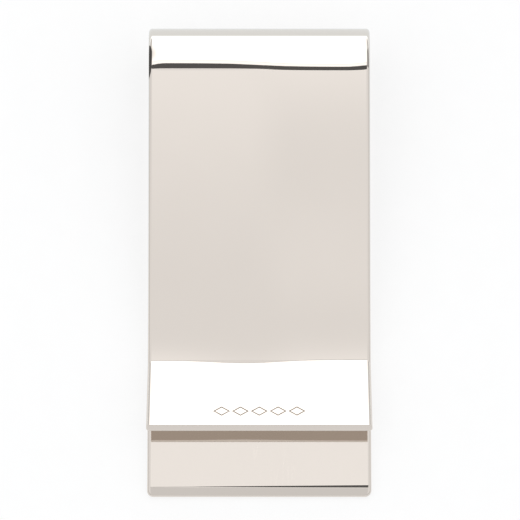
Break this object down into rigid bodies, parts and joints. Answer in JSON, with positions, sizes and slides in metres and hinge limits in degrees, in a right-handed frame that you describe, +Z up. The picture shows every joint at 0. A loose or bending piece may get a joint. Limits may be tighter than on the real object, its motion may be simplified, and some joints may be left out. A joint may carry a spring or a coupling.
{
  "type": "money clip",
  "caption": "Folded spring-strip money clip: flat back leaf, round bow, sprung front arm and a flared entry lip that grips folded banknotes.",
  "frame": {"origin": "middle of the outline, on the surface the clip rests on (underside of the back leaf)", "axes": "+Z up through the front arm, +Y from the entry lip towards the bow, X across the strip"},
  "size_m": [0.0252, 0.0524, 0.0088],
  "materials": {
    "polished_metal": "mirror polished"
  },
  "bodies": {
    "back": {"back_leaf": "polished_metal", "spring_bow": "polished_metal"},
    "jaw": {"front_arm": "polished_metal", "entry_lip": "polished_metal"}
  },
  "joints": [
    {"name": "jaw_flex", "type": "hinge", "parent": "back", "child": "jaw", "pos_m": [0, 0.02181, 0.0044], "axis": [-1, 0, 0], "range_deg": [0, 5], "stiffness_Nm_per_rad": 12, "deforming": ["spring_bow"]}
  ]
}
